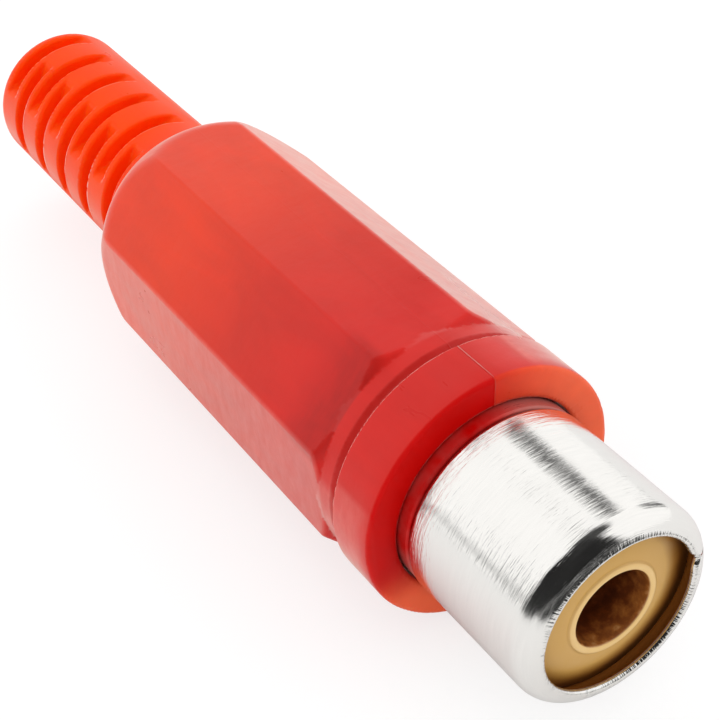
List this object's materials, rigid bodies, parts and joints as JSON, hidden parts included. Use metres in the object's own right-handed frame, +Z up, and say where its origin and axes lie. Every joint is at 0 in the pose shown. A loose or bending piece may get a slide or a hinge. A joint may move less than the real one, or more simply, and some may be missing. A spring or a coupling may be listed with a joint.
{
  "type": "in-line rca phono socket",
  "caption": "In-line phono socket for a cable: a plated metal jack with a tan insulator, in a red plastic handle that draws back, with a slotted strain relief boot.",
  "frame": {"origin": "under the middle of the connector, at the level that it lies on", "axes": "+X along the long axis towards the mating end, +Z up, square to the upper flat of the handle"},
  "size_m": [0.045, 0.011, 0.011],
  "materials": {
    "red_plastic": "satin moulded",
    "nickel_plate": "bright nickel plate",
    "phenolic": "satin moulded",
    "fibre": "matt",
    "brass": "bare turned",
    "tinned_steel": "tinned"
  },
  "bodies": {
    "jack": {"shell": "nickel_plate", "threaded_bush": "nickel_plate", "front_insulator": "phenolic", "rear_insulator": "fibre", "centre_contact": "brass", "earth_tag": "tinned_steel"},
    "cover": {"handle": "red_plastic"}
  },
  "joints": [
    {"name": "handle_draw", "type": "slide", "parent": "jack", "child": "cover", "axis": [-1, 0, 0], "range_m": [0, 0.03]}
  ]
}
